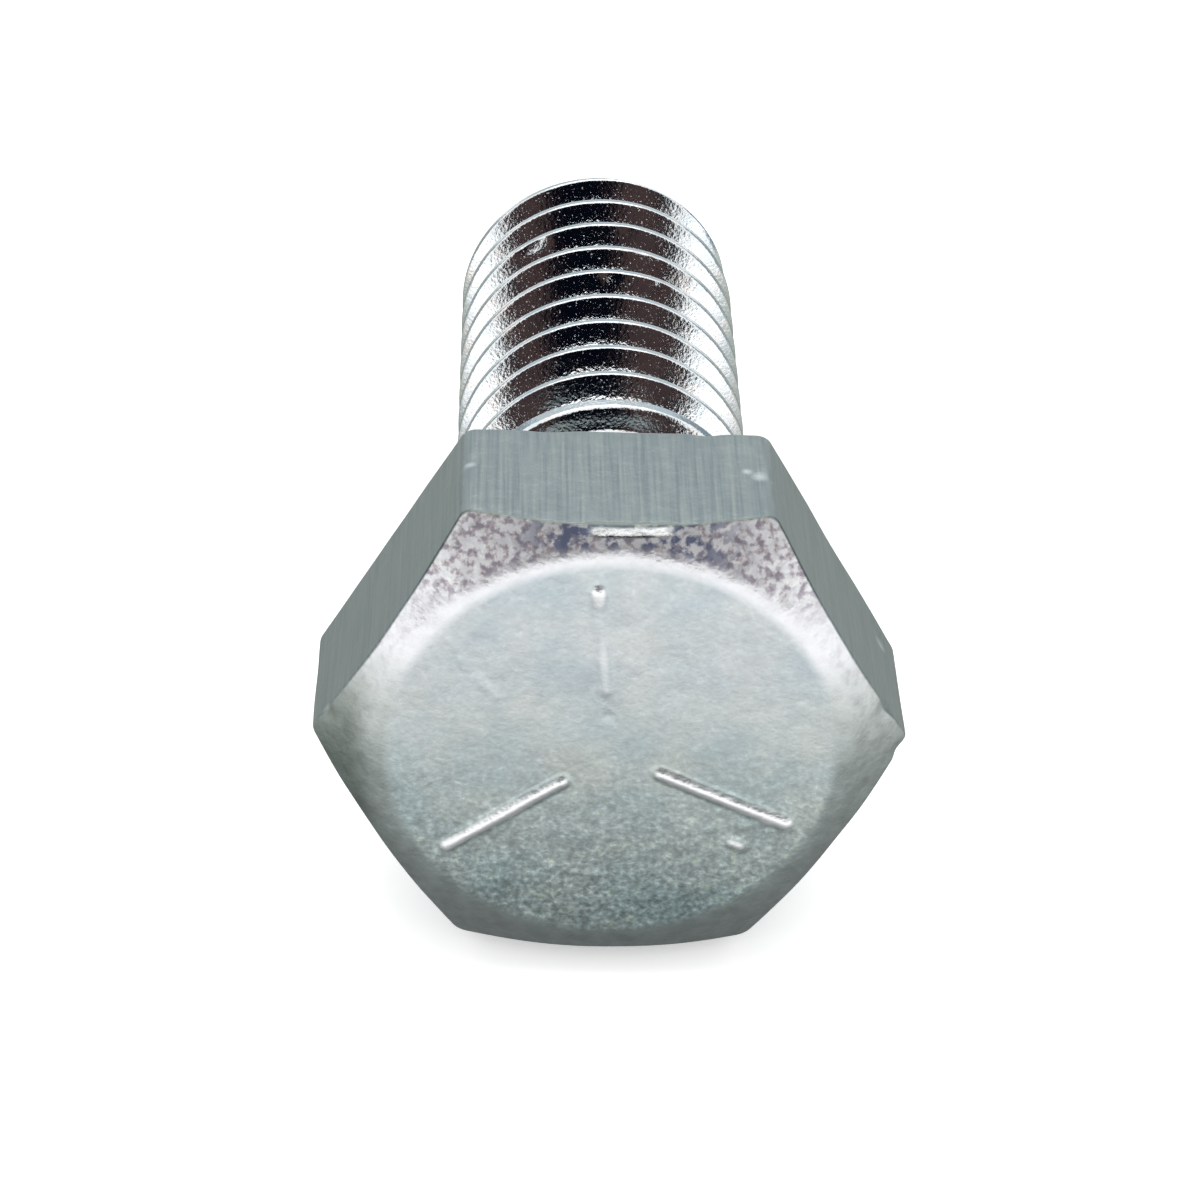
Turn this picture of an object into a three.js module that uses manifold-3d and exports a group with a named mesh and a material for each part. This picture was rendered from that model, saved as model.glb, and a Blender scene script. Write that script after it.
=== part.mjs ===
// Hex cap screw, 5/16-18 UNC by 3/4 in, threaded to the head, zinc-plated steel.
// The real screw is one piece of steel: a cold-forged head and a rolled thread. Here the head and
// the threaded shank are two solids. The shank's foot fills a round seat in the head, so that the
// flat metal under the head is a ring around the shank, as on the real screw.
//
// Millimetres, +Z up. The screw's axis is Y, with the head at -Y, and two of its six flats face
// +Z and -Z. Lengths along the screw are measured from the bearing plane, towards the tip. The
// exported group then moves the screw along Y, so that the origin is the middle of its length.

import * as THREE from "three";
import { mergeVertices } from "three/addons/utils/BufferGeometryUtils.js";
import Module from "manifold-3d";

// Driving dimensions of the screw
const INCH = 25.4;
const MAJOR_DIAMETER = (5 / 16) * INCH;
const PITCH = INCH / 18;
const LENGTH = (3 / 4) * INCH;
const ACROSS_FLATS = (1 / 2) * INCH;
const HEAD_HEIGHT = (13 / 64) * INCH;

// Head: a hexagonal prism whose top is coned off, standing on a round washer face
const WASHER_FACE_DIAMETER = 12;
const WASHER_FACE_THICKNESS = INCH / 64;
const TOP_CIRCLE_DIAMETER = 11.45;
const HEAD_CONE_ANGLE = THREE.MathUtils.degToRad(32);
const HEX_CORNERS = 6;

// Grade marks: raised radial bars with round ends, set evenly about the axis
const MARK_COUNT = 3;
const MARK_HEIGHT = 0.15;
const MARK_WIDTH = 0.4;
const MARK_INNER_RADIUS = 1.4;
const MARK_OUTER_RADIUS = 4.9;
const MARK_DIRECTION = THREE.MathUtils.degToRad(95.5);

// Thread: a right-hand 60 degree form with a flat crest, one crest passing above the axis at CREST_AT
const FLANK_ANGLE = THREE.MathUtils.degToRad(30);
const THREAD_DEPTH = 0.6134 * PITCH;
const CREST_FLAT = PITCH / 8;
const CREST_AT = 16.37;

// Shank: a foot in the head, a fillet, a neck at the thread's pitch diameter, the run-out of the
// thread, and a coned point
const NECK_RADIUS = MAJOR_DIAMETER / 2 - 0.3248 * PITCH;
const FILLET_RADIUS = 0.4;
const FOOT_RADIUS = NECK_RADIUS + FILLET_RADIUS;
const FOOT_DEPTH = 1;
const NECK_END = 2.6;
const FULL_THREAD_START = 5.6;
const FULL_THREAD_END = 17.82;

// Facets: sides of a round surface, which are also the steps in one turn of the thread, sides of a
// bar's round end, and points along the fillet. A solid that is joined to another reaches into it
// by BURIED, and one that trims another stands clear of it by CLEARANCE.
const ROUND_SIDES = 36;
const BAR_END_SIDES = 6;
const FILLET_POINTS = 4;
const BURIED = 0.2;
const CLEARANCE = 1;

const wasm = await Module();
wasm.setup();

function solidOf(geometry) {
  geometry.deleteAttribute("normal");
  geometry.deleteAttribute("uv");
  const merged = mergeVertices(geometry);
  return new wasm.Manifold(
    new wasm.Mesh({
      numProp: 3,
      vertProperties: merged.getAttribute("position").array,
      triVerts: new Uint32Array(merged.index.array),
    }),
  );
}

function namedMesh(name, solid, material) {
  const { vertProperties, triVerts } = solid.getMesh();
  const geometry = new THREE.BufferGeometry();
  geometry.setAttribute("position", new THREE.BufferAttribute(vertProperties, 3));
  geometry.setIndex(new THREE.BufferAttribute(triVerts, 1));
  geometry.computeVertexNormals();
  const mesh = new THREE.Mesh(geometry, material);
  mesh.name = name;
  return mesh;
}

// A solid turned about Y from [radius, length along the axis] corners, listed from head to tip.
function turned(corners) {
  const profile = corners.map(([radius, along]) => new THREE.Vector2(radius, along));
  return solidOf(new THREE.LatheGeometry(profile, ROUND_SIDES));
}

function hexHead() {
  const topRadius = TOP_CIRCLE_DIAMETER / 2;
  const acrossCornersRadius = ACROSS_FLATS / 2 / Math.cos(Math.PI / HEX_CORNERS);
  const clearRadius = acrossCornersRadius + CLEARANCE;
  const prismHeight = HEAD_HEIGHT - WASHER_FACE_THICKNESS;
  const coneDrop = (clearRadius - topRadius) * Math.tan(HEAD_CONE_ANGLE);

  const prism = new THREE.CylinderGeometry(
    acrossCornersRadius, acrossCornersRadius, prismHeight,
    HEX_CORNERS, 1, false, Math.PI / HEX_CORNERS,
  );
  prism.translate(0, -WASHER_FACE_THICKNESS - prismHeight / 2, 0);
  const envelope = turned([
    [0, -HEAD_HEIGHT],
    [topRadius, -HEAD_HEIGHT],
    [clearRadius, -HEAD_HEIGHT + coneDrop],
    [clearRadius, 0],
    [0, 0],
  ]);
  const washerFace = turned([
    [0, -WASHER_FACE_THICKNESS - BURIED],
    [WASHER_FACE_DIAMETER / 2, -WASHER_FACE_THICKNESS - BURIED],
    [WASHER_FACE_DIAMETER / 2, 0],
    [0, 0],
  ]);
  const seat = turned([
    [0, -FOOT_DEPTH],
    [FOOT_RADIUS, -FOOT_DEPTH],
    [FOOT_RADIUS, BURIED],
    [0, BURIED],
  ]);
  let head = solidOf(prism).intersect(envelope).add(washerFace).subtract(seat);
  for (let i = 0; i < MARK_COUNT; i++) {
    head = head.add(gradeMark(MARK_DIRECTION + (2 * Math.PI * i) / MARK_COUNT));
  }
  return head;
}

// One bar, drawn along X and standing along Z, then laid on the head's top and turned to its place.
function gradeMark(direction) {
  const half = MARK_WIDTH / 2;
  const outline = new THREE.Shape();
  outline.absarc(MARK_OUTER_RADIUS - half, 0, half, -Math.PI / 2, Math.PI / 2);
  outline.absarc(MARK_INNER_RADIUS + half, 0, half, Math.PI / 2, (3 * Math.PI) / 2);
  const bar = new THREE.ExtrudeGeometry(outline, {
    depth: MARK_HEIGHT + BURIED,
    bevelEnabled: false,
    curveSegments: BAR_END_SIDES,
  });
  bar.rotateX(Math.PI / 2);
  bar.translate(0, -HEAD_HEIGHT + BURIED, 0);
  bar.rotateY(-direction);
  return solidOf(bar);
}

// The thread's ridge: a straight bar of the thread's section, wound about Y as a right-hand helix.
// Along the bar, x is the radius, y the offset along the axis, and z counts the turns.
function threadRidge() {
  const crestRadius = MAJOR_DIAMETER / 2;
  const baseRadius = crestRadius - THREAD_DEPTH - BURIED;
  const crestHalf = CREST_FLAT / 2;
  const baseHalf = crestHalf + (crestRadius - baseRadius) * Math.tan(FLANK_ANGLE);
  const section = new THREE.Shape([
    new THREE.Vector2(baseRadius, -baseHalf),
    new THREE.Vector2(crestRadius, -crestHalf),
    new THREE.Vector2(crestRadius, crestHalf),
    new THREE.Vector2(baseRadius, baseHalf),
  ]);
  const turnsBefore = Math.ceil((CREST_AT - NECK_END) / PITCH) + 1;
  const turns = turnsBefore + Math.ceil((LENGTH - CREST_AT) / PITCH) + 1;
  const ridge = new THREE.ExtrudeGeometry(section, {
    depth: turns,
    steps: turns * ROUND_SIDES,
    bevelEnabled: false,
  });
  const points = ridge.getAttribute("position");
  for (let i = 0; i < points.count; i++) {
    const radius = points.getX(i);
    const turn = points.getZ(i) - turnsBefore;
    const angle = 2 * Math.PI * turn;
    const along = CREST_AT + PITCH * turn - points.getY(i);
    points.setXYZ(i, radius * Math.sin(angle), along, radius * Math.cos(angle));
  }
  return solidOf(ridge);
}

function threadedShank() {
  const crestRadius = MAJOR_DIAMETER / 2;
  const rootRadius = crestRadius - THREAD_DEPTH;
  const clearRadius = crestRadius + CLEARANCE;
  const runOutSlope = (FULL_THREAD_START - NECK_END) / (crestRadius - NECK_RADIUS);
  const pointSlope = (LENGTH - FULL_THREAD_END) / (crestRadius - rootRadius);

  const fillet = [];
  for (let i = 0; i <= FILLET_POINTS; i++) {
    const angle = (Math.PI / 2) * (i / FILLET_POINTS);
    const radius = FOOT_RADIUS - FILLET_RADIUS * Math.sin(angle);
    fillet.push([radius, FILLET_RADIUS * (1 - Math.cos(angle))]);
  }
  const core = turned([
    [0, -FOOT_DEPTH],
    [FOOT_RADIUS, -FOOT_DEPTH],
    ...fillet,
    [NECK_RADIUS, NECK_END],
    [rootRadius, FULL_THREAD_START],
    [rootRadius, LENGTH],
    [0, LENGTH],
  ]);
  const envelope = turned([
    [0, NECK_END],
    [NECK_RADIUS, NECK_END],
    [clearRadius, NECK_END + (clearRadius - NECK_RADIUS) * runOutSlope],
    [clearRadius, FULL_THREAD_END - CLEARANCE * pointSlope],
    [rootRadius, LENGTH],
    [0, LENGTH],
  ]);
  return core.add(threadRidge().intersect(envelope));
}

const headSteel = new THREE.MeshStandardMaterial({
  color: 0xaab3b6,
  roughness: 0.4,
  metalness: 1,
  flatShading: true,
});
const threadSteel = new THREE.MeshStandardMaterial({
  color: 0xc3cacc,
  roughness: 0.2,
  metalness: 1,
  flatShading: true,
});

const screw = new THREE.Group();
screw.add(namedMesh("hex_head", hexHead(), headSteel));
screw.add(namedMesh("threaded_shank", threadedShank(), threadSteel));
screw.position.y = (HEAD_HEIGHT + MARK_HEIGHT - LENGTH) / 2;

export default screw;
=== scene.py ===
"""A hex bolt lying on a pale sheet: the looks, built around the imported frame.

Metres, +Z up. The bolt's axis is Y, with the head at -Y and the tip at +Y.
"""

import math

import bpy
import numpy as np
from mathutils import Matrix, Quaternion, Vector, noise


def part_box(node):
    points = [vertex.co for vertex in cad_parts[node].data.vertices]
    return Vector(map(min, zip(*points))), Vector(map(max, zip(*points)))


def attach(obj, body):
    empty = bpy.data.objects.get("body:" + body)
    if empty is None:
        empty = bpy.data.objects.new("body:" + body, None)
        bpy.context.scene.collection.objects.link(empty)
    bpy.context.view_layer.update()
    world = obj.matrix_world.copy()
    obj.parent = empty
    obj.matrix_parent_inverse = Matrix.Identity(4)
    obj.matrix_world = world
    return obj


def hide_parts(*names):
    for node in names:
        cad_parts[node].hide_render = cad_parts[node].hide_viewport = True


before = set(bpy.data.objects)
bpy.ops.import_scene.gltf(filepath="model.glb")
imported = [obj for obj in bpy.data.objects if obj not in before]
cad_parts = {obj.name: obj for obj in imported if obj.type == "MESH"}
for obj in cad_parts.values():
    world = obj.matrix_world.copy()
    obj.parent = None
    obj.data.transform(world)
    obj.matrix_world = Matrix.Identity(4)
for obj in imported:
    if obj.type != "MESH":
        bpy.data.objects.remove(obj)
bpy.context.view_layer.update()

# ---------------------------------------------------------------------------------------------
# Camera: a short telephoto, close to the bolt, looking down over the head and along the thread.
# ---------------------------------------------------------------------------------------------
MM = 0.001
CAMERA_DISTANCE = 88.8 * MM
CAMERA_AZIMUTH = math.radians(-2.25)
CAMERA_ELEVATION = math.radians(33.78)
CAMERA_ROLL = math.radians(2.34)
CAMERA_AIM = Vector((-0.15, -5.28, 0)) * MM
CAMERA_LENS = 102.85


def toward(azimuth, elevation):
    """The direction from the bolt out to a point at this azimuth and elevation; azimuth 0 is -Y."""
    level = math.cos(elevation)
    return Vector((math.sin(azimuth) * level, -math.cos(azimuth) * level, math.sin(elevation)))


bpy.ops.object.camera_add()
camera = bpy.context.object
camera.name = "camera"
camera.data.sensor_width = 36
camera.data.lens = CAMERA_LENS
camera.data.clip_start = MM
camera.data.clip_end = 10
camera_side = toward(CAMERA_AZIMUTH, CAMERA_ELEVATION)
camera.location = CAMERA_AIM + camera_side * CAMERA_DISTANCE
camera.rotation_mode = "QUATERNION"
level_turn = (-camera_side).to_track_quat("-Z", "Y")
camera.rotation_quaternion = level_turn @ Quaternion((0, 0, 1), CAMERA_ROLL)
bpy.context.scene.camera = camera

# ---------------------------------------------------------------------------------------------
# Head: the end of a steel wire upset cold into a round blank, then pressed to a hexagon in a die.
# Its top is coned off, three raised bars on it mark the strength grade, and a thin round washer
# face stands out underneath. The edges are rounded, because the steel doesn't fill the die's corners.
# ---------------------------------------------------------------------------------------------
head_low, head_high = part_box("hex_head")
shank_low, shank_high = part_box("threaded_shank")
BEARING = head_high.y
TIP = shank_high.y
FLAT_RADIUS = (head_high.z - head_low.z) / 2
CORNER_RADIUS = (head_high.x - head_low.x) / 2
MARK_HEIGHT = 0.15 * MM
TOP = head_low.y + MARK_HEIGHT
WASHER_RADIUS = 6 * MM
WASHER_THICKNESS = 0.397 * MM
UNDERSIDE = BEARING - WASHER_THICKNESS
CONE_ANGLE = math.radians(32)
TOP_CIRCLE_RADIUS = 5.725 * MM
CROWN_ROUNDING = 1.3 * MM
CORNER_ROUNDING = 0.4 * MM
CREASE_ROUNDING = 0.14 * MM
EDGE_ROUNDING = 0.2 * MM
WASHER_ROUNDING = 0.06 * MM
# A stretch of the cone under the upper crease is a little steeper than the rest: where its middle
# is, how far it reaches to each side and then fades, how far it comes down, and its slope.
STEEP_STRETCH_AT = 0.28 * MM
STEEP_STRETCH_REACH = 0.9 * MM
STEEP_STRETCH_FADE = 0.35 * MM
STEEP_STRETCH_WIDTH = 0.22 * MM
STEEP_STRETCH_SLOPE = 0.6
# The mesh: columns around the head, rows across its flat top, the ring where the underside's rows
# stop, how far the columns crowd towards the corners, in radians, and how close points are one.
HEAD_COLUMNS = 540
TOP_ROWS = 68
LAST_RING = 3 * MM
CROWDING = 0.11
SAME_PLACE = 0.001 * MM


def drawn(name, points):
    """An open outline, drawn by extruding one vertex from point to point."""
    bpy.ops.object.select_all(action="DESELECT")
    bpy.ops.mesh.primitive_plane_add(size=MM, location=points[0])
    outline = bpy.context.object
    outline.name = name
    bpy.ops.object.mode_set(mode="EDIT")
    bpy.ops.mesh.merge(type="CENTER")
    for here, there in zip(points, points[1:]):
        bpy.ops.mesh.extrude_region_move(TRANSFORM_OT_translate={"value": there - here})
    bpy.ops.object.mode_set(mode="OBJECT")
    bpy.ops.object.transform_apply(location=True)
    return outline


def arc(centre_radius, centre_along, size, start, end, steps):
    """Points of a rounded corner; an angle of 0 faces the head's top and 90 degrees faces out."""
    for angle in np.linspace(start, end, steps):
        yield (
            centre_radius + size * math.sin(angle),
            centre_along - size * math.cos(angle),
        )


def evenly(start, end, steps):
    """Points of a straight stretch of the outline, without its first one."""
    for share in np.linspace(0, 1, steps + 1)[1:]:
        yield tuple(a + (b - a) * share for a, b in zip(start, end))


QUARTER = math.pi / 2
crown_end = TOP_CIRCLE_RADIUS - CROWN_ROUNDING * math.tan(CONE_ANGLE / 2)
corner_top = TOP + (CORNER_RADIUS - TOP_CIRCLE_RADIUS) * math.tan(CONE_ANGLE)
crease_back = CREASE_ROUNDING * math.tan((QUARTER - CONE_ANGLE) / 2)
flank_top = corner_top + crease_back
head_outline = [(0.0, TOP), *evenly((0.0, TOP), (crown_end, TOP), TOP_ROWS)]
head_outline += list(arc(crown_end, TOP + CROWN_ROUNDING, CROWN_ROUNDING, 0, CONE_ANGLE, steps=12))[1:]
cone_end = (
    CORNER_RADIUS - crease_back * math.cos(CONE_ANGLE),
    corner_top - crease_back * math.sin(CONE_ANGLE),
)
cone_start = head_outline[-1]
head_outline += evenly(cone_start, cone_end, steps=9)
head_outline += list(
    arc(CORNER_RADIUS - CREASE_ROUNDING, flank_top, CREASE_ROUNDING, CONE_ANGLE, QUARTER, steps=7)
)[1:]
edge_start = UNDERSIDE - EDGE_ROUNDING
head_outline += evenly(head_outline[-1], (CORNER_RADIUS, edge_start), steps=15)
head_outline += list(
    arc(CORNER_RADIUS - EDGE_ROUNDING, edge_start, EDGE_ROUNDING, QUARTER, 2 * QUARTER, steps=6)
)[1:]
rim_start = BEARING - WASHER_ROUNDING
head_outline += evenly(head_outline[-1], (WASHER_RADIUS, UNDERSIDE), steps=4)
head_outline += evenly(head_outline[-1], (WASHER_RADIUS, rim_start), steps=3)
head_outline += list(
    arc(WASHER_RADIUS - WASHER_ROUNDING, rim_start, WASHER_ROUNDING, QUARTER, 2 * QUARTER, steps=4)
)[1:]
head_outline += evenly(head_outline[-1], (LAST_RING, BEARING), steps=5)
head_outline += evenly(head_outline[-1], (0.0, BEARING), steps=1)

head = drawn("head", [Vector((0, along, radius)) for radius, along in head_outline])
bpy.ops.object.mode_set(mode="EDIT")
bpy.ops.mesh.select_all(action="SELECT")
bpy.ops.mesh.spin(steps=HEAD_COLUMNS, angle=2 * math.pi, center=(0, 0, 0), axis=(0, 1, 0))
bpy.ops.mesh.select_all(action="SELECT")
bpy.ops.mesh.remove_doubles(threshold=SAME_PLACE)
bpy.ops.mesh.normals_make_consistent(inside=False)
bpy.ops.object.mode_set(mode="OBJECT")


def places(piece):
    """The piece's vertices, one row each."""
    flat = np.empty(len(piece.data.vertices) * 3, np.float32)
    piece.data.vertices.foreach_get("co", flat)
    return flat.reshape(-1, 3).astype(float)


def put(piece, points):
    """Moves the piece's vertices to these places."""
    piece.data.vertices.foreach_set("co", points.astype(np.float32).ravel())
    piece.data.update()


def hexagon(angle):
    """How far out the pressed hexagon reaches at this angle about Y, with its corners rounded."""
    sixth = math.pi / 3
    from_corner = np.abs((angle + sixth / 2) % sixth - sixth / 2)
    straight = FLAT_RADIUS / np.cos(sixth / 2 - from_corner)
    centre = (FLAT_RADIUS - CORNER_ROUNDING) / math.cos(sixth / 2)
    across = centre * np.sin(from_corner)
    rounded = centre * np.cos(from_corner) + np.sqrt(np.maximum(CORNER_ROUNDING**2 - across**2, 0))
    reach = math.atan2(CORNER_ROUNDING / 2, centre + CORNER_ROUNDING * math.cos(sixth / 2))
    return np.where(from_corner < reach, rounded, straight)


def faded(distance, reach):
    """1 at no distance, falling smoothly to 0 at reach and beyond."""
    share = np.clip(distance / reach, 0, 1)
    return 1 - share * share * (3 - 2 * share)


def pressed(points):
    """Presses six flats into the round blank; the cone's edge drops where the flats cut into it."""
    x, along, z = points.T
    radius = np.hypot(x, z)
    angle = np.arctan2(z, x)
    cone_share = (radius - cone_start[0]) / (cone_end[0] - cone_start[0])
    back_share = (radius - WASHER_RADIUS) / (CORNER_RADIUS - EDGE_ROUNDING - WASHER_RADIUS)
    outer = np.clip(np.where(along < flank_top, cone_share, back_share), 0, 1)
    angle = angle - CROWDING * outer * np.sin(6 * angle)
    lost = CORNER_RADIUS - hexagon(angle)
    above_edge = 1 - np.clip((along - flank_top) / (edge_start - flank_top), 0, 1)
    new_radius = radius - lost * outer
    new_x, new_z = new_radius * np.cos(angle), new_radius * np.sin(angle)
    steep_stretch = faded(np.maximum(np.abs(new_x - STEEP_STRETCH_AT) - STEEP_STRETCH_REACH, 0), STEEP_STRETCH_FADE)
    steep_stretch *= np.clip(new_z - FLAT_RADIUS + STEEP_STRETCH_WIDTH, 0, STEEP_STRETCH_WIDTH)
    new_along = along + above_edge * (STEEP_STRETCH_SLOPE * steep_stretch - lost * outer * math.tan(CONE_ANGLE))
    return np.stack([new_x, new_along, new_z], 1)


put(head, pressed(places(head)))

# What the die left: the grade bars, a centre mark, part of a ring, and a few knocks.
# Each bar: its direction from +X towards +Z, where it starts and ends, and how much of it was filled.
MARKS = ((95.5, 1.9, 4.75, 0.33), (215.5, 1.45, 4.85, 1.0), (335.5, 1.35, 4.8, 1.0))
MARK_HALF_WIDTH = 0.28 * MM
MARK_LIFT = 0.11 * MM
# A bar's outer end was filled all the same, over this length in mm.
FILLED_END = 0.5
CENTRE_MARK = Vector((-0.1, 1.15)) * MM
CENTRE_MARK_RADIUS = 0.24 * MM
CENTRE_MARK_DEPTH = 0.03 * MM
RING_RADIUS = 3.72 * MM
RING_HALF_WIDTH = 0.12 * MM
RING_LIFT = 0.025 * MM
RING_MIDDLE = math.radians(-100)
RING_REACH = math.radians(38)
# Knocks on the flat top: start and end across it, half width, depth (a negative one stands proud).
TOP_SCRATCHES = (
    ((-3.9, 3.25), (-3.5, 2.5), 0.22, -0.013),
    ((-3.3, 2.2), (-2.85, 1.7), 0.22, -0.02),
    ((3.05, -2.6), (3.3, -2.72), 0.25, -0.07),
    ((3.3, -2.1), (3.9, -2.0), 0.2, -0.02),
    ((-4.6, -0.4), (-4.4, -0.9), 0.16, -0.02),
    ((-2.2, -0.5), (-1.9, -0.9), 0.14, -0.015),
)


def from_segment(x, z, start, end):
    """Distance of points on the head's top to a straight line between two points on it."""
    along = np.array(end) - np.array(start)
    share = np.clip(((x - start[0]) * along[0] + (z - start[1]) * along[1]) / (along @ along), 0, 1)
    return np.hypot(x - start[0] - share * along[0], z - start[1] - share * along[1])


def stamped(points):
    """Raises and sinks the marks on the head's flat top."""
    x, along, z = points.T
    top = along < TOP + 0.01 * MM
    lift = np.zeros(len(points))
    for direction, start, end, filled in MARKS:
        outward = np.array((math.cos(math.radians(direction)), math.sin(math.radians(direction))))
        beside = from_segment(x, z, outward * start * MM, outward * end * MM)
        in_end = np.clip((np.hypot(x, z) / MM - end) / FILLED_END + 1, 0, 1)
        lift += MARK_LIFT * (filled + (1 - filled) * in_end) * faded(beside, MARK_HALF_WIDTH)
    from_centre = np.hypot(x - CENTRE_MARK.x, z - CENTRE_MARK.y)
    lift -= CENTRE_MARK_DEPTH * faded(from_centre, CENTRE_MARK_RADIUS)
    ring = faded(np.abs(np.hypot(x, z) - RING_RADIUS), RING_HALF_WIDTH)
    lift += RING_LIFT * ring * faded(np.abs(np.arctan2(z, x) - RING_MIDDLE), RING_REACH)
    for start, end, size, depth in TOP_SCRATCHES:
        beside = from_segment(x, z, np.array(start) * MM, np.array(end) * MM)
        lift -= depth * MM * faded(beside, size * MM)
    points[:, 1] = along - np.where(top, lift, 0)
    return points


# Knocks from the barrel it was plated in: place from the bearing plane, size and depth.
HEAD_KNOCKS = [
    ((-3.5, -1.95, 6.35), 0.33, 0.05),
    ((3.4, -2.4, 6.35), 0.36, 0.05),
    ((-7.0, -4.5, 0.6), 0.4, 0.1),
    ((6.8, -4.6, 1.1), 0.5, 0.1),
    ((7.1, -4.2, -0.3), 0.4, 0.08),
    ((6.75, -1.3, 0.95), 0.5, 0.06),
    ((2.2, -0.5, 6.35), 0.6, 0.06),
    ((-1.6, -0.45, 6.35), 0.8, 0.05),
    ((-5.2, -0.7, -3.4), 0.45, 0.06),
    ((1.0, -4.2, -6.3), 0.5, 0.05),
]


def knocked(points, knocks, lean):
    """Pushes round dents in towards the axis, or leaning from that towards the tip by this angle."""
    for (x, along, z), size, depth in knocks:
        centre = np.array((x, along, z)) * MM + np.array((0, BEARING, 0))
        inward = -np.array((x, 0, z)) / math.hypot(x, z) * math.cos(lean)
        inward[1] = math.sin(lean)
        strength = faded(np.linalg.norm(points - centre, axis=1), size * MM)
        points = points + np.outer(strength * depth * MM, inward)
    return points


# Blender seeds this noise from the clock. A fixed seed gives the same waves in every run.
WAVE_SEED = 7
noise.seed_set(WAVE_SEED)


def uneven(points, size, height):
    """Slow waves in the surface, of this size and height, as the die leaves them."""
    waves = [noise.noise_vector(Vector(p) / size) for p in points]
    return points + np.array(waves) * height


# The bearing face stays flat, and the unevenness grows over this length above it.
HELD_FLAT = 0.3 * MM
head_points = knocked(stamped(places(head)), HEAD_KNOCKS, lean=0)
held_flat = faded(np.maximum(BEARING - head_points[:, 1], 0), HELD_FLAT)[:, None]
moved = uneven(head_points, size=1.6 * MM, height=0.022 * MM)
put(head, moved * (1 - held_flat) + head_points * held_flat)
bpy.ops.object.select_all(action="DESELECT")
head.select_set(True)
bpy.context.view_layer.objects.active = head
bpy.ops.object.shade_smooth_by_angle(angle=math.radians(50))


def linear(colour):
    """An sRGB hex colour as the linear values that a shader takes."""
    channels = [int(colour[i : i + 2], 16) / 255 for i in (1, 3, 5)]
    return [c / 12.92 if c <= 0.04045 else ((c + 0.055) / 1.055) ** 2.4 for c in channels] + [1]


def grey(value):
    """A grey for a ramp that carries a number."""
    return (value, value, value, 1)


def add(tree, kind, inputs=(), stops=(), **settings):
    """Adds a node with its settings. inputs pairs a socket's name, or its place among those in use,
    with a value, an output, or a node whose first output feeds it; stops are a ramp's colours."""
    node = tree.nodes.new("ShaderNode" + kind)
    for name, value in settings.items():
        setattr(node, name, value)
    for wanted, value in inputs:
        in_use = [socket for socket in node.inputs if socket.enabled]
        target = next(socket for i, socket in enumerate(in_use) if wanted in (i, socket.name))
        if isinstance(value, bpy.types.Node):
            value = next(socket for socket in value.outputs if socket.enabled)
        if isinstance(value, bpy.types.NodeSocket):
            tree.links.new(value, target)
        else:
            target.default_value = value
    for _ in stops[2:]:
        node.color_ramp.elements.new(0.5)
    for i, (position, colour) in enumerate(stops):
        node.color_ramp.elements[i].position = position
        node.color_ramp.elements[i].color = colour
    return node


def new_material(name):
    """An empty node material and its tree."""
    material = bpy.data.materials.new(name)
    material.use_nodes = True
    material.node_tree.nodes.clear()
    return material, material.node_tree


# How a Mix node lays its second colour over the first, or tints the first with it.
LAID_OVER = {"data_type": "RGBA"}
TINTED = {"data_type": "RGBA", "blend_type": "MULTIPLY"}

# Where the flats were knocked bright: place in mm, size.
BRUISES = (
    ((-3.55, -9.0, 6.35), 0.2),
    ((3.4, -9.3, 6.35), 0.24),
    ((3.1, -9.1, 6.35), 0.16),
    ((3.75, -9.45, 6.35), 0.14),
    ((-7.0, -11.3, 0.6), 0.3),
    ((6.9, -8.3, 0.9), 0.3),
)
# How many features each pattern has in a millimetre. The plate's real grain is much finer, and is
# drawn this coarse so that it shows.
CLOUDS = 0.5
PATCHES = 2.2
BLOTCHES = 3.6
CONE_SPOTS = 5.2
SPECKLES = 7.0
GRAINS = 12.0
DRAW_LINES = 13
DRAW_LINE_BREAKS = 0.3
# Relief of the draw lines, of the slow unevenness, and of the grain and the speckles.
LINE_RELIEF = 0.012 * MM
PATCH_RELIEF = 0.06 * MM
GRAIN_RELIEF = 0.012 * MM
# The palest spots of the plate, a little yellow.
PALE_SPOT = (1.3, 1.28, 1.12, 1)

# Bright zinc electroplate on a cold-forged head. The pressed top is satin, more sparkling towards the
# bottom and greyer there as painted shade; the crown and the cone were burnished by the die, and the
# cone is painted darker low down and paler at the crown, as painted shade and a painted highlight; the
# flats carry fine draw lines along Y.
forged_zinc, tree = new_material("forged_bright_zinc")
coordinates = add(tree, "TexCoord")
place = coordinates.outputs["Object"]
in_mm = add(tree, "VectorMath", [(0, place), (1, (1 / MM,) * 3)], operation="MULTIPLY")

# Where on the head a point lies. Places are in centimetres, because a colour ramp runs from 0 to 1,
# and height starts 5.5 mm below the axis.
CM = 10 * MM
in_cm = add(tree, "VectorMath", [(0, place), (1, (1 / CM,) * 3)], operation="MULTIPLY")
spot = add(tree, "SeparateXYZ", [(0, in_cm)])
across = add(tree, "VectorMath", [(0, place), (1, (1 / CM, 0, 1 / CM))], operation="MULTIPLY")
from_axis = add(tree, "VectorMath", [(0, across)], operation="LENGTH")
height = add(tree, "Math", [(0, spot.outputs["Z"]), (1, 0.55)], operation="ADD")
facing = add(tree, "SeparateXYZ", [(0, coordinates.outputs["Normal"])])
facing_head = add(tree, "Math", [(0, facing.outputs["Y"]), (1, -1.0)], operation="MULTIPLY")
on_top = add(tree, "ValToRGB", [(0, from_axis)], [(0.535, grey(1)), (0.56, grey(0))])
on_cone = add(tree, "ValToRGB", [(0, from_axis)], [(0.575, grey(0)), (0.6, grey(1))])
on_flank = add(tree, "ValToRGB", [(0, facing_head)], [(0.4, grey(1)), (0.78, grey(0))])
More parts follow.
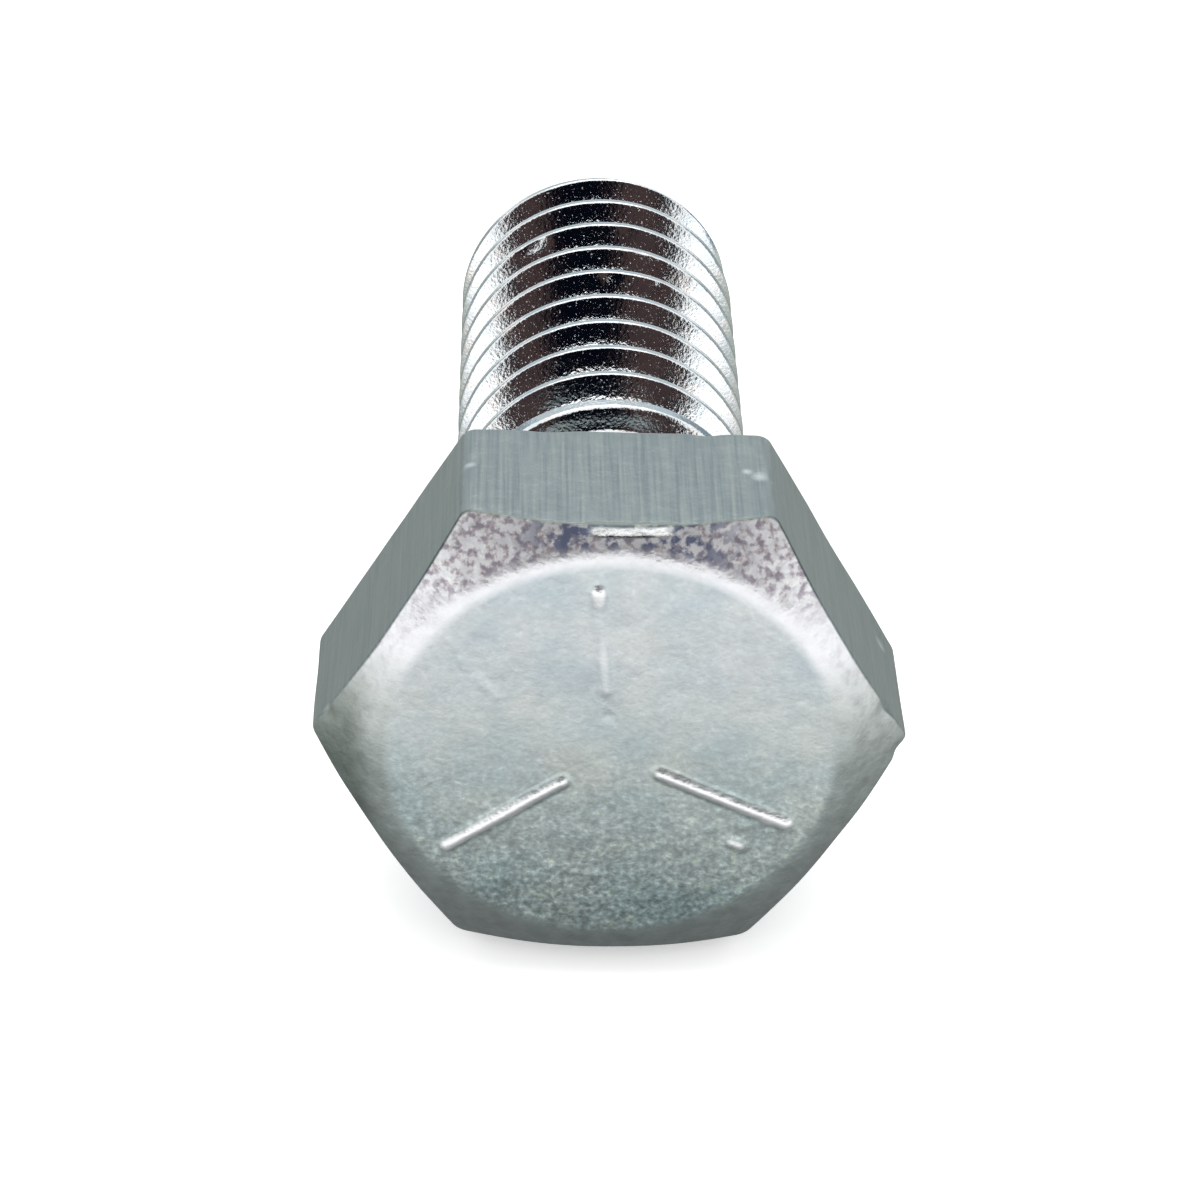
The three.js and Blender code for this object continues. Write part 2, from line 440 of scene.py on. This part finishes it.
# How low on the head a point is: there the top takes darker speckles, a painted shade.
low_down_shade_and_speckle = add(tree, "ValToRGB", [(0, height)], [(0.1, grey(1)), (0.6, grey(0.15))])
high_up = add(
    tree,
    "ValToRGB",
    [(0, spot.outputs["Z"])],
    [(0.0, grey(0.12)), (0.41, grey(0.2)), (0.48, grey(1))],
)

# The steeper stretch of the cone, smoother than the rest, and paler with a painted highlight.
beside_steep_stretch = add(tree, "Math", [(0, spot.outputs["X"]), (1, STEEP_STRETCH_AT / CM)], operation="SUBTRACT")
beside_steep_stretch = add(tree, "Math", [(0, beside_steep_stretch)], operation="ABSOLUTE")
steep_stretch_across = add(tree, "ValToRGB", [(0, beside_steep_stretch)], [(0.08, grey(1)), (0.104, grey(0))])
steep_stretch_down = add(
    tree,
    "ValToRGB",
    [(0, spot.outputs["Z"])],
    [(0.61, grey(0)), (0.614, grey(1)), (0.626, grey(1)), (0.629, grey(0))],
)
steep_stretch = add(tree, "Math", [(0, steep_stretch_across), (1, steep_stretch_down)], operation="MULTIPLY")

# The upper cone, where the plate is blotched; the blotches' purple-grey is partly the plate's mottling
# and partly a painted reflection of the dark flags, and the blue beside the steeper stretch is a painted
# reflection.
blotch = add(tree, "TexNoise", [("Vector", in_mm), ("Scale", BLOTCHES), ("Detail", 3.0)])
upper_cone = add(tree, "Math", [(0, high_up), (1, on_cone)], operation="MULTIPLY")
painted_blue_reflection = add(tree, "ValToRGB", [(0, beside_steep_stretch)], [(0.16, grey(1)), (0.3, grey(0))])
blue_reflection_spots = add(tree, "ValToRGB", [(0, blotch)], [(0.44, grey(1)), (0.54, grey(0))])
painted_blue_reflection = add(tree, "Math", [(0, painted_blue_reflection), (1, blue_reflection_spots)], operation="MULTIPLY")
painted_blue_reflection = add(tree, "Math", [(0, painted_blue_reflection), (1, upper_cone)], operation="MULTIPLY")

# The upper crease, darkened to dim its highlight: painted shade.
crease_painted_shade = add(
    tree,
    "ValToRGB",
    [(0, facing_head)],
    [(0.1, grey(0)), (0.3, grey(1)), (0.6, grey(1)), (0.8, grey(0))],
)
crease_painted_shade = add(tree, "Math", [(0, crease_painted_shade), (1, upper_cone)], operation="MULTIPLY")
crease_painted_shade = add(tree, "Mix", [(0, steep_stretch), ("A", crease_painted_shade), ("B", grey(0))], **LAID_OVER)

# The corner at -X, outside the crown, darkened: painted shade.
towards_corner = add(tree, "Math", [(0, spot.outputs["X"]), (1, -1.0)], operation="MULTIPLY")
corner_painted_shade = add(tree, "ValToRGB", [(0, towards_corner)], [(0.45, grey(0)), (0.6, grey(1))])
corner_shade_below = add(tree, "ValToRGB", [(0, height)], [(0.62, grey(1)), (0.82, grey(0))])
corner_shade_outside = add(tree, "ValToRGB", [(0, from_axis)], [(0.59, grey(0)), (0.64, grey(1))])
corner_painted_shade = add(tree, "Math", [(0, corner_painted_shade), (1, corner_shade_below)], operation="MULTIPLY")
corner_painted_shade = add(tree, "Math", [(0, corner_painted_shade), (1, corner_shade_outside)], operation="MULTIPLY")

# What stands proud of the top is brighter, as rubbed: not yet 0.03 mm up, and fully 0.07 mm up.
proud = add(tree, "Math", [(0, spot.outputs["Y"]), (1, TOP / CM)], operation="SUBTRACT")
proud = add(tree, "Math", [(0, proud), (1, -100.0)], operation="MULTIPLY")
rubbed = add(tree, "ValToRGB", [(0, proud)], [(0.3, grey(0)), (0.7, grey(1))])

bruised = 0.0
for centre, size in BRUISES:
    away = add(tree, "VectorMath", [(0, in_mm), (1, centre)], operation="DISTANCE")
    away = add(tree, "Math", [(0, away), (1, size)], operation="DIVIDE")
    bruise = add(tree, "ValToRGB", [(0, away)], [(0.2, grey(1)), (1.0, grey(0))])
    bruised = add(tree, "Math", [(0, bruised), (1, bruise)], operation="MAXIMUM")

cloud = add(tree, "TexNoise", [("Vector", in_mm), ("Scale", CLOUDS), ("Detail", 3.0)])
patch = add(tree, "TexNoise", [("Vector", in_mm), ("Scale", PATCHES), ("Detail", 3.0)])
cone_spot = add(tree, "TexNoise", [("Vector", in_mm), ("Scale", CONE_SPOTS), ("Detail", 3.0)])
speckle = add(tree, "TexNoise", [("Vector", in_mm), ("Scale", SPECKLES), ("Detail", 2.0)])
grain = add(tree, "TexNoise", [("Vector", in_mm), ("Scale", GRAINS), ("Detail", 3.0)])
DRAWN_OUT = (DRAW_LINES / MM, DRAW_LINE_BREAKS / MM, DRAW_LINES / MM)
drawn_out = add(tree, "VectorMath", [(0, place), (1, DRAWN_OUT)], operation="MULTIPLY")
lines = add(tree, "TexNoise", [("Vector", drawn_out), ("Scale", 1.0), ("Detail", 3.0)])

# The top's colour, darker towards the bottom: painted shade.
top_colour = add(
    tree,
    "ValToRGB",
    [(0, height)],
    [(0.1, linear("#B6C8CA")), (0.45, linear("#C4CFD0")), (0.8, linear("#CDD4D9"))],
)
top_stain = add(tree, "ValToRGB", [(0, cloud)], [(0.35, linear("#E9EEEE")), (0.65, linear("#FFFCF6"))])
top_colour = add(tree, "Mix", [(0, 1.0), ("A", top_colour), ("B", top_stain)], **TINTED)
top_speck = add(
    tree,
    "ValToRGB",
    [(0, speckle)],
    [(0.36, grey(0.66)), (0.5, grey(0.92)), (0.6, grey(1.06)), (0.68, grey(1.4))],
)
top_blotch = add(
    tree,
    "ValToRGB",
    [(0, blotch)],
    [(0.36, grey(0.72)), (0.5, grey(0.95)), (0.62, grey(1.0)), (0.7, PALE_SPOT)],
)
top_speck = add(tree, "Mix", [(0, 1.0), ("A", top_speck), ("B", top_blotch)], **TINTED)
# Low down the speckles grey the top: painted shade.
top_colour = add(tree, "Mix", [(0, low_down_shade_and_speckle), ("A", top_colour), ("B", top_speck)], **TINTED)
top_colour = add(tree, "Mix", [(0, rubbed), ("A", top_colour), ("B", linear("#EEF0F2"))], **LAID_OVER)

# The cone's colour: darker low down, a painted shade, and paler towards the crown, a painted highlight.
cone_colour = add(
    tree,
    "ValToRGB",
    [(0, height)],
    [
        (0.1, linear("#A9B5B3")),
        (0.5, linear("#9DA7A4")),
        (0.7, linear("#C4CAC8")),
        (0.85, linear("#E6E7EA")),
    ],
)
cone_stain = add(tree, "ValToRGB", [(0, patch)], [(0.35, grey(0.85)), (0.6, grey(1.0))])
cone_colour = add(tree, "Mix", [(0, 1.0), ("A", cone_colour), ("B", cone_stain)], **TINTED)
cone_blotch_and_reflection = add(
    tree,
    "ValToRGB",
    [(0, cone_spot)],
    [(0.37, linear("#C6BECB")), (0.45, linear("#F3EAEA")), (0.54, grey(1.25))],
)
# Blotches on the upper cone: plate mottling with a painted reflection of the dark flags.
cone_colour = add(tree, "Mix", [(0, upper_cone), ("A", cone_colour), ("B", cone_blotch_and_reflection)], **TINTED)
# Blue over the upper cone beside the steeper stretch: painted reflection.
cone_colour = add(tree, "Mix", [(0, painted_blue_reflection), ("A", cone_colour), ("B", linear("#8088A4"))], **LAID_OVER)
# A painted highlight, near-white, on the steeper stretch.
cone_colour = add(tree, "Mix", [(0, steep_stretch), ("A", cone_colour), ("B", linear("#FAFAFA"))], **LAID_OVER)
# Painted shade on the corner at -X.
cone_colour = add(tree, "Mix", [(0, corner_painted_shade), ("A", cone_colour), ("B", linear("#C4C8C2"))], **TINTED)

flank_colour = add(
    tree,
    "ValToRGB",
    [(0, lines)],
    [(0.3, linear("#98A1A2")), (0.5, linear("#A4ACAC")), (0.7, linear("#AEB4B2"))],
)
flank_colour = add(tree, "Mix", [(0, bruised), ("A", flank_colour), ("B", linear("#DDE3E2"))], **LAID_OVER)

colour = add(tree, "Mix", [(0, on_top), ("A", cone_colour), ("B", top_colour)], **LAID_OVER)
colour = add(tree, "Mix", [(0, on_flank), ("A", colour), ("B", flank_colour)], **LAID_OVER)
# Painted shade on the upper crease.
colour = add(tree, "Mix", [(0, crease_painted_shade), ("A", colour), ("B", linear("#B4B8B2"))], **TINTED)

top_rough = add(tree, "ValToRGB", [(0, patch)], [(0.3, grey(0.34)), (0.7, grey(0.44))])
top_rough = add(tree, "Mix", [(0, rubbed), ("A", top_rough), ("B", grey(0.3))], **LAID_OVER)
cone_rough = add(tree, "ValToRGB", [(0, patch)], [(0.35, grey(0.26)), (0.65, grey(0.36))])
cone_rough = add(tree, "Mix", [(0, upper_cone), ("A", cone_rough), ("B", grey(0.48))], **LAID_OVER)
cone_rough = add(tree, "Mix", [(0, steep_stretch), ("A", cone_rough), ("B", grey(0.15))], **LAID_OVER)
flank_rough = add(tree, "ValToRGB", [(0, lines)], [(0.3, grey(0.38)), (0.7, grey(0.48))])
rough = add(tree, "Mix", [(0, on_top), ("A", cone_rough), ("B", top_rough)], **LAID_OVER)
rough = add(tree, "Mix", [(0, on_flank), ("A", rough), ("B", flank_rough)], **LAID_OVER)

flank_lines = add(tree, "Math", [(0, lines), (1, on_flank)], operation="MULTIPLY")
relief = add(tree, "Bump", [("Height", flank_lines), ("Distance", LINE_RELIEF), ("Strength", 0.6)])
for pattern, distance, strength in (
    (patch, PATCH_RELIEF, 0.5),
    (speckle, GRAIN_RELIEF, low_down_shade_and_speckle),
    (grain, GRAIN_RELIEF, 0.5),
):
    relief = add(
        tree,
        "Bump",
        [("Height", pattern), ("Distance", distance), ("Strength", strength), ("Normal", relief)],
    )
shader = add(
    tree,
    "BsdfPrincipled",
    [("Base Color", colour), ("Metallic", 1.0), ("Roughness", rough), ("Normal", relief)],
)
add(tree, "OutputMaterial", [("Surface", shader)])

head.data.materials.append(forged_zinc)
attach(head, "root")
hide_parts("hex_head")

# ---------------------------------------------------------------------------------------------
# Threaded shank: the same piece of wire, pointed, then rolled between two flat dies that press the
# root in and push the crest out. The thread is right-hand, runs out short of the head into a plain
# neck, and a small fillet joins the neck to the head.
# ---------------------------------------------------------------------------------------------
PITCH = 25.4 / 18 * MM
CREST_RADIUS = (shank_high.x - shank_low.x) / 2
THREAD_DEPTH = 0.6134 * PITCH
ROOT_RADIUS = CREST_RADIUS - THREAD_DEPTH
NECK_RADIUS = CREST_RADIUS - 0.3248 * PITCH
FILLET = 0.4 * MM
CREST_AT = BEARING + 16.37 * MM
NECK_END = BEARING + 2.6 * MM
FULL_THREAD_START = BEARING + 5.6 * MM
FULL_THREAD_END = BEARING + 17.82 * MM
CREST_HALF = PITCH / 16
FLANK_SLOPE = math.tan(math.radians(60))
# The crest and the root are rounded over these widths. Rounding lowers the crest, so the flank and
# the crest are drawn this much higher.
CREST_ROUNDING = 0.05 * MM
ROOT_ROUNDING = 0.16 * MM
FLANK_RAISED = 0.01 * MM
CREST_RAISED = 0.005 * MM
# The endless thread that is then cut to length, and how many of its turns lie past CREST_AT.
TURNS = 18
TURNS_PAST = 3
STEPS_PER_TURN = 144


def softer_min(a, b, blend):
    """The lower of two heights, rounded over where they cross."""
    near = np.clip(blend - np.abs(a - b), 0, None) / blend
    return np.minimum(a, b) - near * near * blend / 4


def softer_max(a, b, blend):
    """The higher of two heights, rounded where they cross."""
    return -softer_min(-a, -b, blend)


def thread_radius(offset):
    """The thread's radius at this distance along the axis from the middle of its crest."""
    flank = CREST_RADIUS + FLANK_RAISED - (np.abs(offset) - CREST_HALF) * FLANK_SLOPE
    crested = softer_min(flank, np.full_like(offset, CREST_RADIUS + CREST_RAISED), CREST_ROUNDING)
    return softer_max(crested, np.full_like(offset, ROOT_RADIUS), ROOT_ROUNDING)


# Where the section has points, in mm from the middle of the crest: close together where it turns.
SECTION_POINTS = (0, 0.05, 0.068, 0.082, 0.098, 0.115, 0.14, 0.21, 0.32, 0.43, 0.52, 0.57, 0.62, 0.66)
half_section = np.append(np.array(SECTION_POINTS) * MM, PITCH / 2)
section = np.concatenate([-half_section[::-1], half_section[1:]])
first_crest = CREST_AT - (TURNS - TURNS_PAST) * PITCH
thread_points = [
    Vector((0, first_crest + offset, radius)) for offset, radius in zip(section, thread_radius(section))
]
shank = drawn("shank", thread_points)
winding = shank.modifiers.new("rolled_thread", "SCREW")
winding.axis = "Y"
winding.angle = 2 * math.pi
winding.screw_offset = PITCH
winding.iterations = TURNS
winding.steps = STEPS_PER_TURN
winding.render_steps = STEPS_PER_TURN
winding.use_merge_vertices = True
winding.merge_threshold = 0.002 * MM
bpy.ops.object.modifier_apply(modifier=winding.name)


# Past the run-out the crest is free, and the point ends below the root. The thread meets its limits
# and the core in rounded edges of these widths.
CREST_FREE = 0.05 * MM
POINT_BELOW_ROOT = 0.02 * MM
LIMIT_ROUNDING = 0.06 * MM
CORE_ROUNDING = 0.1 * MM


def rolled(points):
    """Fits the endless thread to its run-out and the neck at one end and the point at the other."""
    x, along, z = points.T
    radius = np.hypot(x, z)
    run_out = np.clip((along - NECK_END) / (FULL_THREAD_START - NECK_END), 0, 1)
    core = NECK_RADIUS + (ROOT_RADIUS - NECK_RADIUS) * run_out
    crest = np.where(along < NECK_END, NECK_RADIUS, NECK_RADIUS + (CREST_RADIUS - NECK_RADIUS) * run_out)
    crest = np.where(along > FULL_THREAD_START, CREST_RADIUS + CREST_FREE, crest)
    point_slope = (CREST_RADIUS - ROOT_RADIUS) / (TIP - FULL_THREAD_END)
    point = CREST_RADIUS - (along - FULL_THREAD_END) * point_slope
    limit = np.minimum(crest, np.maximum(point, ROOT_RADIUS - POINT_BELOW_ROOT))
    new_radius = softer_max(softer_min(radius, limit, LIMIT_ROUNDING), core, CORE_ROUNDING)
    new_radius = np.minimum(new_radius, np.maximum(limit, core))
    return np.stack([x / radius * new_radius, along, z / radius * new_radius], 1)


put(shank, rolled(places(shank)))
bpy.ops.object.select_all(action="DESELECT")
shank.select_set(True)
bpy.context.view_layer.objects.active = shank
FILLET_TOP = BEARING + FILLET
FOOT = BEARING - 0.2 * MM
CUT_EXACTLY = 0.0001 * MM
# The sheared tip is slightly cupped: each ring's share of the last one's radius, and how far it sinks.
TIP_RINGS = ((0.96, 0.0), (0.9, 0.03), (0.8, 0.05), (0.6, 0.03))
bpy.ops.object.mode_set(mode="EDIT")
bpy.ops.mesh.select_all(action="SELECT")
bpy.ops.mesh.remove_doubles(threshold=SAME_PLACE)
bpy.ops.mesh.bisect(
    plane_co=(0, FILLET_TOP, 0), plane_no=(0, 1, 0), clear_inner=True, use_fill=True, threshold=CUT_EXACTLY
)
radius = NECK_RADIUS
along = FILLET_TOP
fillet_rings = list(arc(NECK_RADIUS + FILLET, -FILLET_TOP, FILLET, -QUARTER, 0, steps=9))[1:]
for new_radius, mirrored_along in [*fillet_rings, (NECK_RADIUS + FILLET, -FOOT)]:
    new_along = -mirrored_along
    bpy.ops.mesh.extrude_region_move(TRANSFORM_OT_translate={"value": (0, new_along - along, 0)})
    shrink = new_radius / radius
    bpy.ops.transform.resize(value=(shrink, 1, shrink), center_override=(0, new_along, 0))
    radius, along = new_radius, new_along
bpy.ops.mesh.select_all(action="SELECT")
bpy.ops.mesh.bisect(
    plane_co=(0, TIP, 0), plane_no=(0, 1, 0), clear_outer=True, use_fill=True, threshold=CUT_EXACTLY
)
for shrink, sunk in TIP_RINGS:
    bpy.ops.mesh.extrude_region_move(TRANSFORM_OT_translate={"value": (0, -sunk * MM, 0)})
    bpy.ops.transform.resize(value=(shrink, 1, shrink), center_override=(0, TIP, 0))
bpy.ops.mesh.select_all(action="SELECT")
bpy.ops.mesh.remove_doubles(threshold=SAME_PLACE)
bpy.ops.mesh.normals_make_consistent(inside=False)
bpy.ops.object.mode_set(mode="OBJECT")

# Nicks in the flanks just under the crests, from bolts falling on each other: angle from +Z towards
# +X in degrees, place from the bearing plane, size, and depth.
THREAD_NICKS = (
    (-32, 14.74, 0.42, 0.09),
    (-27, 14.74, 0.34, 0.06),
    (22, 13.62, 0.24, 0.07),
    (16, 13.6, 0.24, 0.08),
    (10, 13.62, 0.18, 0.05),
    (-6, 13.6, 0.2, 0.05),
    (11, 14.82, 0.2, 0.05),
    (2, 12.05, 0.3, 0.08),
    (-24, 10.0, 0.36, 0.08),
    (25, 12.1, 0.2, 0.05),
    (60, 11.2, 0.3, 0.07),
    (-95, 12.6, 0.35, 0.09),
    (-140, 9.1, 0.3, 0.08),
    (120, 15.2, 0.35, 0.08),
    (175, 11.0, 0.35, 0.09),
    (95, 8.5, 0.25, 0.07),
)
NICK_LEAN = math.radians(60)
NICK_RADIUS = CREST_RADIUS / MM - 0.06
nick_places = [
    (
        (
            NICK_RADIUS * math.sin(math.radians(angle)),
            along,
            NICK_RADIUS * math.cos(math.radians(angle)),
        ),
        size,
        depth,
    )
    for angle, along, size, depth in THREAD_NICKS
]
nicked = knocked(places(shank), nick_places, NICK_LEAN)
put(shank, uneven(nicked, size=0.9 * MM, height=0.006 * MM))
bpy.ops.object.shade_smooth_by_angle(angle=math.radians(50))

# How many features each pattern has in a millimetre; here too the real grain is finer.
THREAD_PATCHES = 1.6
RIPPLES = 3.0
THREAD_GRAINS = 11.0
PITS = 20.0

# Bright zinc electroplate on a rolled thread. The dies leave the flanks almost a mirror, and the
# plate's fine grain breaks up the edges of what it reflects.
rolled_zinc, tree = new_material("rolled_bright_zinc")
place = add(tree, "TexCoord").outputs["Object"]
in_mm = add(tree, "VectorMath", [(0, place), (1, (1 / MM,) * 3)], operation="MULTIPLY")
patch = add(tree, "TexNoise", [("Vector", in_mm), ("Scale", THREAD_PATCHES), ("Detail", 3.0)])
ripple = add(tree, "TexNoise", [("Vector", in_mm), ("Scale", RIPPLES), ("Detail", 2.0)])
grain = add(tree, "TexNoise", [("Vector", in_mm), ("Scale", THREAD_GRAINS), ("Detail", 3.0)])
pits = add(tree, "TexNoise", [("Vector", in_mm), ("Scale", PITS), ("Detail", 2.0)])
pits = add(tree, "ValToRGB", [(0, pits)], [(0.68, grey(0)), (0.78, grey(1))])
colour = add(
    tree,
    "ValToRGB",
    [(0, patch)],
    [(0.3, linear("#D9E1E6")), (0.5, linear("#E8ECEE")), (0.7, linear("#EAE6E4"))],
)
rough = add(tree, "ValToRGB", [(0, patch)], [(0.3, grey(0.06)), (0.7, grey(0.11))])
relief = add(tree, "Bump", [("Height", ripple), ("Distance", 0.012 * MM), ("Strength", 0.2)])
for pattern, distance, strength in ((grain, 0.015 * MM, 0.6), (pits, 0.008 * MM, 0.5)):
    relief = add(
        tree,
        "Bump",
        [("Height", pattern), ("Distance", distance), ("Strength", strength), ("Normal", relief)],
    )
shader = add(
    tree,
    "BsdfPrincipled",
    [("Base Color", colour), ("Metallic", 1.0), ("Roughness", rough), ("Normal", relief)],
)
add(tree, "OutputMaterial", [("Surface", shader)])

shank.data.materials.append(rolled_zinc)
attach(shank, "root")
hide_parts("threaded_shank")

# ---------------------------------------------------------------------------------------------
# Studio: a pale sheet that the bolt lies on, leaning on the edge of its lower flat and the crest
# nearest the tip, so the sheet slopes up to the tip. A white tent, a low white wall, and dark flags
# around the lens are what the bright metal mirrors.
# ---------------------------------------------------------------------------------------------
flat_edge = Vector((0, UNDERSIDE, -FLAT_RADIUS))
tip_crest = Vector((0, FULL_THREAD_END, -CREST_RADIUS))
SHEET_SIZE = 130 * MM
slope = math.atan2(tip_crest.z - flat_edge.z, tip_crest.y - flat_edge.y)


def sheet_of(name, size, lift):
    """A square sheet under the bolt, lifted this much off the floor."""
    bpy.ops.object.select_all(action="DESELECT")
    middle = flat_edge + Vector((0, 0, lift))
    bpy.ops.mesh.primitive_plane_add(size=size, location=middle, rotation=(slope, 0, 0))
    made = bpy.context.object
    made.name = name
    return made


# White matt paper, lit so evenly that it has only a soft shadow.
floor = sheet_of("pale_sheet", SHEET_SIZE, 0)
paper, tree = new_material("white_matt_paper")
shader = add(
    tree,
    "BsdfPrincipled",
    [
        ("Base Color", linear("#F2F2F2")),
        ("Roughness", 0.9),
        ("Emission Color", linear("#FFFFFF")),
        ("Emission Strength", 0.35),
    ],
)
add(tree, "OutputMaterial", [("Surface", shader)])
floor.data.materials.append(paper)


def seen_in_metal_only(thing):
    """The thing is mirrored in the metal and does nothing else."""
    thing.visible_camera = False
    thing.visible_shadow = False
    thing.visible_diffuse = False


# What the metal mirrors of the sheet: shaded close to the bolt, and darker towards the tip. Places
# on the sheet are in decimetres, because a colour ramp runs from 0 to 1, and fore counts from the
# sheet's front edge.
DM = 100 * MM
HALF_SHEET = 0.65
GREENISH = (0.4, 0.43, 0.4, 1)
mirrored = sheet_of("sheet_in_the_metal", SHEET_SIZE - 2 * MM, 0.05 * MM)
seen_in_metal_only(mirrored)
finish, tree = new_material("shaded_sheet")
place = add(tree, "TexCoord").outputs["Object"]
in_dm = add(tree, "VectorMath", [(0, place), (1, (1 / DM,) * 3)], operation="MULTIPLY")
spot = add(tree, "SeparateXYZ", [(0, in_dm)])
in_front = add(tree, "Math", [(0, spot.outputs["Y"]), (1, 0.0)], operation="MINIMUM")
away = add(tree, "CombineXYZ", [("X", spot.outputs["X"]), ("Y", in_front)])
away = add(tree, "VectorMath", [(0, away)], operation="LENGTH")
near = add(
    tree,
    "ValToRGB",
    [(0, away)],
    [(0.0, grey(0.22)), (0.05, grey(0.34)), (0.1, grey(0.54)), (0.17, grey(0.78)), (0.26, grey(1.0))],
)
fore = add(tree, "Math", [(0, spot.outputs["Y"]), (1, HALF_SHEET)], operation="ADD")
depth = add(
    tree,
    "ValToRGB",
    [(0, fore)],
    [(0.2, grey(1.0)), (0.33, grey(0.84)), (0.52, grey(0.74)), (0.62, grey(0.5)), (0.72, GREENISH)],
)
lit = add(tree, "Mix", [(0, 1.0), ("A", near), ("B", depth)], **TINTED)
glow = add(tree, "Emission", [("Color", lit), ("Strength", 1.5)])
add(tree, "OutputMaterial", [("Surface", glow)])
mirrored.data.materials.append(finish)


def card(name, azimuth, elevation, distance, width, height, colour, strength):
    """A flat card that faces the bolt; angles in degrees, sizes in mm."""
    side = toward(math.radians(azimuth), math.radians(elevation))
    bpy.ops.object.select_all(action="DESELECT")
    bpy.ops.mesh.primitive_plane_add(size=1, location=side * distance * MM)
    made = bpy.context.object
    made.name = name
    made.scale = (width * MM, height * MM, 1)
    made.rotation_mode = "QUATERNION"
    made.rotation_quaternion = side.to_track_quat("Z", "Y")
    seen_in_metal_only(made)
    finish, tree = new_material(name + "_face")
    glow = add(tree, "Emission", [("Color", linear(colour)), ("Strength", strength)])
    add(tree, "OutputMaterial", [("Surface", glow)])
    made.data.materials.append(finish)


# Dark flags around the lens, one behind the other, so that the thread has a dark stripe.
card("lens_flag", -2, 35, 150, 96, 110, "#060912", 1.0)
card("brown_flag", 1, 29, 155, 236, 158, "#463838", 1.0)
card("outer_flag", 2, 29, 157, 300, 160, "#101218", 1.0)
# A low white wall under them, for the cone and the crown.
card("low_wall_left", -50, 1, 95, 60, 24, "#FFFFFF", 1.42)
card("low_wall_front", 0, 1, 95, 120, 24, "#FFFFFF", 1.42)
card("low_wall_right", 50, 1, 95, 60, 24, "#FFFFFF", 1.42)
# Greyer walls at the sides and the back.
card("side_wall_left", -107, 8, 120, 170, 100, "#8C9AA4", 1.0)
card("side_wall_right", 107, 8, 120, 170, 100, "#8C9AA4", 1.0)
card("back_wall", 180, 30, 170, 300, 130, "#C4D0D6", 1.0)

SOFTBOX_PLACE = Vector((0, 20, 260)) * MM
SOFTBOX_WIDTH = 260 * MM
SOFTBOX_DEPTH = 160 * MM
SOFTBOX_POWER = 0.22
bpy.ops.object.light_add(type="AREA", location=SOFTBOX_PLACE)
softbox = bpy.context.object
softbox.name = "overhead_softbox"
softbox.data.shape = "RECTANGLE"
softbox.data.size = SOFTBOX_WIDTH
softbox.data.size_y = SOFTBOX_DEPTH
softbox.data.energy = SOFTBOX_POWER
softbox.visible_camera = False

world = bpy.data.worlds.new("white_tent")
bpy.context.scene.world = world
world.use_nodes = True
world.node_tree.nodes.clear()
tent = add(world.node_tree, "Background", [("Color", grey(1.0)), ("Strength", 1.12)])
add(world.node_tree, "OutputWorld", [("Surface", tent)])
bpy.context.scene.view_settings.view_transform = "Standard"
